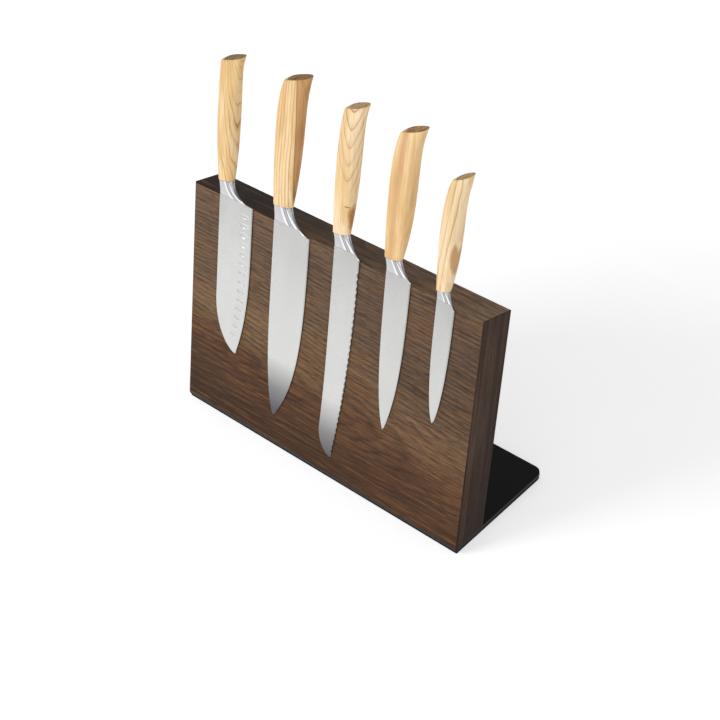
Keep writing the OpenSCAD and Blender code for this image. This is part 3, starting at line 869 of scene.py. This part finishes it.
def black_lacquer():
    """The base plate: satin black with a faint texture."""
    m = Nodes("black_lacquer_look")
    place = m.coordinates()
    grit = m.noise(place, 2600.0, 2.0, 0.6)
    cloud = m.noise(place, 24.0, 3.0, 0.5)
    m.set(Base_Color=m.ramp(cloud, [(0.3, (11, 11, 12)), (0.7, (16, 16, 17))]))
    m.set(Roughness=m.ramp(cloud, [(0.3, 0.36), (0.7, 0.44)]))
    m.set(Specular_IOR_Level=0.18)
    m.bump(grit, 0.05, 0.00005)
    return m.material


def rubber():
    """The pad: matte black, lightly pebbled."""
    m = Nodes("pad_rubber_look")
    grit = m.noise(m.coordinates(), 1700.0, 2.0, 0.6)
    m.set(Base_Color=m.ramp(grit, [(0.3, (12, 12, 12)), (0.7, (20, 20, 20))]))
    m.set(Roughness=m.ramp(grit, [(0.3, 0.72), (0.7, 0.85)]))
    m.set(Specular_IOR_Level=0.1)
    m.bump(grit, 0.25, 0.0001)
    return m.material


def hidden_metal(name, low, high, rough):
    """Hidden metal pieces: screws and magnets."""
    m = Nodes(name)
    grit = m.noise(m.coordinates(), 900.0, 3.0, 0.6)
    m.set(Base_Color=m.ramp(grit, [(0.3, low), (0.7, high)]), Metallic=1.0)
    m.set(Roughness=m.ramp(grit, [(0.3, rough - HIDDEN_ROUGH_SPREAD),
                                  (0.7, rough + HIDDEN_ROUGH_SPREAD)]))
    m.bump(grit, 0.1, 0.00005)
    return m.material


# ---- CAD nodes that stay ----
WELD_REACH = 0.00001
BEVEL_SEGMENTS = 3
BEVEL_ANGLE = 30


def dress(node, material, round_edge=0):
    """Rounds a CAD node's edges and gives it its material; its mesh is left as it is."""
    piece = frame["nodes"][node]
    piece.data.materials.clear()
    piece.data.materials.append(material)
    if round_edge:
        weld = piece.modifiers.new("weld", "WELD")
        weld.merge_threshold = WELD_REACH
        bevel = piece.modifiers.new("bevel", "BEVEL")
        bevel.width = round_edge
        bevel.segments = BEVEL_SEGMENTS
        bevel.limit_method = "ANGLE"
        bevel.angle_limit = math.radians(BEVEL_ANGLE)
        bevel.harden_normals = True
        bevel.use_clamp_overlap = True


wood = smoked_wood()
dress("front_board", wood, round_edge=0.0003)
dress("back_board", wood, round_edge=0.0003)
dress("base_plate", black_lacquer(), round_edge=0.0004)
dress("non_slip_pad", rubber(), round_edge=0.0005)
screw_look = hidden_metal("screw_steel_look", (150, 150, 152), (176, 176, 178), 0.4)
magnet_look = hidden_metal("magnet_look", (78, 78, 82), (104, 104, 108), 0.5)
dress("base_screws", screw_look)
dress("upper_magnets", magnet_look)
dress("lower_magnets", magnet_look)

# handle figure, from the spine line at the board's top edge: pith across and behind the front,
# how the grain leans and dips towards the butt, ring width, slow warp and small wiggle, vein
# strength, light and deep tones, darkness over one ring, place in the log;
# cone: how fast the rings close into points; start: the height from which veins fade in;
# spots: across, up, half width, half height, strength; plain: the seam's middle across, the
# height where it stands out most, and its curve; stripe: across, slope and half width
THIN_VEIN = [(0.0, 0.3), (0.10, 0.0), (0.55, 0.0), (0.84, 0.35), (0.93, 1.0), (1.0, 0.3)]
SOFT_BAND = [(0.0, 0.2), (0.2, 0.0), (0.55, 0.0), (0.7, 0.8), (0.85, 0.9), (1.0, 0.2)]
PALE = ((243, 218, 176), (234, 201, 148))
HONEY = ((243, 214, 164), (232, 194, 138))
GOLD = ((238, 206, 153), (224, 184, 126))
FIGURES = {
    "santoku": dict(pith=(-0.08, 0.01), lean=0.18, ring=0.0034, warp=0.015,
                    wiggle=0.0026, vein=0.95, tones=((242, 214, 165), (228, 191, 132)),
                    profile=THIN_VEIN, seed=(1.3, 0.2, 5.0)),
    "chef": dict(pith=(-0.06, 0.01), lean=-0.02, ring=0.0036, warp=0.004,
                 wiggle=0.0012, vein=0.85, tones=HONEY, profile=THIN_VEIN,
                 seed=(7.9, 3.1, 1.2), plain=(0.0243, 0.085, 0.64)),
    "bread": dict(pith=(0.0135, 0.0155), lean=-0.02, cone=-0.30, ring=0.0044,
                  warp=0.007, wiggle=0.0026, vein=0.85, start=0.056, tones=PALE, profile=THIN_VEIN,
                  seed=(2.2, 8.4, 3.3),
                  spots=((0.0195, 0.034, 0.0045, 0.017, 0.85),
                         (0.0150, 0.047, 0.0035, 0.0007, 0.9))),
    "carving": dict(pith=(-0.03, 0.004), lean=-0.07, ring=0.0175, warp=0.004,
                    wiggle=0.0012, vein=0.16, tones=GOLD, profile=SOFT_BAND,
                    seed=(5.1, 1.7, 9.5), stripe=(0.0052, 0.052, 0.0034)),
    "utility": dict(pith=(-0.03, 0.01), lean=-0.13, dip=0.05, ring=0.0058, warp=0.010,
                    wiggle=0.0020, vein=0.65, tones=PALE, profile=THIN_VEIN,
                    seed=(4.4, 6.6, 2.8), spots=((0.0160, 0.042, 0.0036, 0.015, 0.65),)),
}
# the butt's end grain: dark, middle and light
FACET_TONES = {
    "santoku": ((112, 88, 48), (150, 122, 74), (186, 156, 104)),
    "chef": ((110, 72, 38), (158, 116, 70), (176, 130, 84)),
    "bread": ((158, 118, 72), (200, 162, 112), (214, 180, 132)),
    "carving": ((104, 64, 32), (176, 130, 82), (206, 168, 116)),
    "utility": ((150, 116, 70), (186, 150, 100), (204, 170, 120)),
}

# two of the blades get a painted dark reflection near their tips
plain_steel = satin_steel("satin_steel_look")
STEEL = {"chef": satin_steel("satin_steel_painted_reflection_look", (0.036, 0.090)),
         "bread": satin_steel("satin_steel_low_painted_reflection_look", (0.018, 0.078))}
polish = polished_steel()
for knife_name, knife in KNIVES.items():
    figure = FIGURES[knife_name]
    handle_wood = olive_wood(knife_name, place_of(knife_name), figure)
    facet_wood = olive_end_grain(knife_name, figure["seed"], FACET_TONES[knife_name])
    make_blade(knife_name, knife, STEEL.get(knife_name, plain_steel))
    make_bolster(knife_name, knife, polish)
    make_handle(knife_name, knife, handle_wood, facet_wood)

# ---- floor, light and camera ----
FLOOR_HALF = 6.0
STAGE_GLOW = 0.52
STAGE_ROUGH = 0.7
# the flag lies out in front, and its side towards the block fades into the floor's tone
FLAG_LOW = (-2.5, -2.5)
FLAG_HIGH = (2.0, -0.5)
FLAG_LIFT = 0.001
FADE_END = -1.0
FADE_LENGTH = 0.45
AIM = (0, 0, 0.16)
# the studio's brightness: all round, then overhead
SKY_LOW = (0.85, 0.85, 0.86, 1)
SKY_HIGH = (0.35, 0.35, 0.36, 1)
SKY_HIGH_AT = 0.9
SKY_STRENGTH = 0.8
CAMERA_AT = Vector((0.8979, -0.7406, 1.0874))
CAMERA_AZIMUTH = math.radians(49.884)
CAMERA_ELEVATION = math.radians(40.608)
CAMERA_ROLL = math.radians(9.520)
LENS_MM = 84.22
SENSOR_MM = 36


def sheet(name, low, high, lift, material):
    """A flat stage piece, lift above the floor, between two opposite corners."""
    mesh = bpy.data.meshes.new(name)
    mesh.from_pydata([(low[0], low[1], lift), (high[0], low[1], lift),
                      (high[0], high[1], lift), (low[0], high[1], lift)], [], [(0, 1, 2, 3)])
    mesh.materials.append(material)
    return add_object(name, mesh)


def floor_look():
    """The pale matt floor, with a glow of its own that keeps it pale all round."""
    m = Nodes("pale_floor_look")
    grain = m.noise(m.coordinates(), 6.0, 2.0)
    m.set(Base_Color=m.ramp(grain, [(0.3, (240, 240, 240)), (0.7, (244, 244, 244))]))
    m.set(Emission_Color=rgb((255, 255, 255)), Emission_Strength=STAGE_GLOW)
    m.set(Roughness=STAGE_ROUGH)
    return m.material


def flag_look():
    """The grey flag, fading into the floor's tone towards the block."""
    m = Nodes("flag_look")
    fade = m.times(m.less(m.split(m.coordinates())[1], FADE_END), 1 / FADE_LENGTH)
    m.set(Base_Color=m.ramp(fade, [(0.0, (150, 150, 150)), (1.0, (242, 242, 242))]))
    m.set(Emission_Color=m.ramp(fade, [(0.0, 0.3), (1.0, 1.0)]), Emission_Strength=STAGE_GLOW)
    m.set(Roughness=STAGE_ROUGH)
    return m.material


def softbox(name, place, size, watts):
    light = bpy.data.lights.new(name, "AREA")
    light.energy = watts
    light.shape = "RECTANGLE"
    light.size, light.size_y = size
    lamp = add_object(name, light)
    lamp.location = place
    lamp.rotation_euler = (Vector(AIM) - Vector(place)).to_track_quat("-Z", "Y").to_euler()


def studio_sky():
    """A soft grey studio round the scene, darker overhead."""
    world = bpy.data.worlds.new("studio")
    bpy.context.scene.world = world
    world.use_nodes = True
    tree = world.node_tree
    heights = tree.nodes.new("ShaderNodeSeparateXYZ")
    tree.links.new(tree.nodes.new("ShaderNodeTexCoord").outputs["Generated"], heights.inputs[0])
    tone = tree.nodes.new("ShaderNodeValToRGB")
    low, high = tone.color_ramp.elements
    low.position, low.color = 0.0, SKY_LOW
    high.position, high.color = SKY_HIGH_AT, SKY_HIGH
    background = tree.nodes["Background"]
    tree.links.new(heights.outputs[2], tone.inputs[0])
    tree.links.new(tone.outputs[0], background.inputs["Color"])
    background.inputs["Strength"].default_value = SKY_STRENGTH


def aim_camera():
    """The photograph's viewing angle, with its slight roll."""
    look = Vector((-math.sin(CAMERA_AZIMUTH) * math.cos(CAMERA_ELEVATION),
                   math.cos(CAMERA_AZIMUTH) * math.cos(CAMERA_ELEVATION),
                   -math.sin(CAMERA_ELEVATION)))
    level_right = look.cross(Vector((0, 0, 1))).normalized()
    level_up = level_right.cross(look)
    right_axis = level_right * math.cos(CAMERA_ROLL) - level_up * math.sin(CAMERA_ROLL)
    up_axis = level_up * math.cos(CAMERA_ROLL) + level_right * math.sin(CAMERA_ROLL)
    lens = bpy.data.cameras.new("camera")
    lens.lens = LENS_MM
    lens.sensor_width = SENSOR_MM
    camera = add_object("camera", lens)
    camera.matrix_world = Matrix((
        (right_axis.x, up_axis.x, -look.x, CAMERA_AT.x),
        (right_axis.y, up_axis.y, -look.y, CAMERA_AT.y),
        (right_axis.z, up_axis.z, -look.z, CAMERA_AT.z),
        (0, 0, 0, 1)))
    bpy.context.scene.camera = camera


floor = sheet("floor", (-FLOOR_HALF, -FLOOR_HALF), (FLOOR_HALF, FLOOR_HALF), 0, floor_look())

# only reflections see the flag, so the steel and its hollows have a darker side to show
flag = sheet("flag", FLAG_LOW, FLAG_HIGH, FLAG_LIFT, flag_look())
flag.visible_camera = False
flag.visible_diffuse = False
flag.visible_shadow = False

softbox("key_light", (-2.5, -3.2, 1.95), (2.1, 1.85), 100)
softbox("fill_light", (2.4, -1.2, 1.2), (1.4, 1.4), 10)
studio_sky()
aim_camera()
bpy.context.scene.view_settings.view_transform = "Standard"
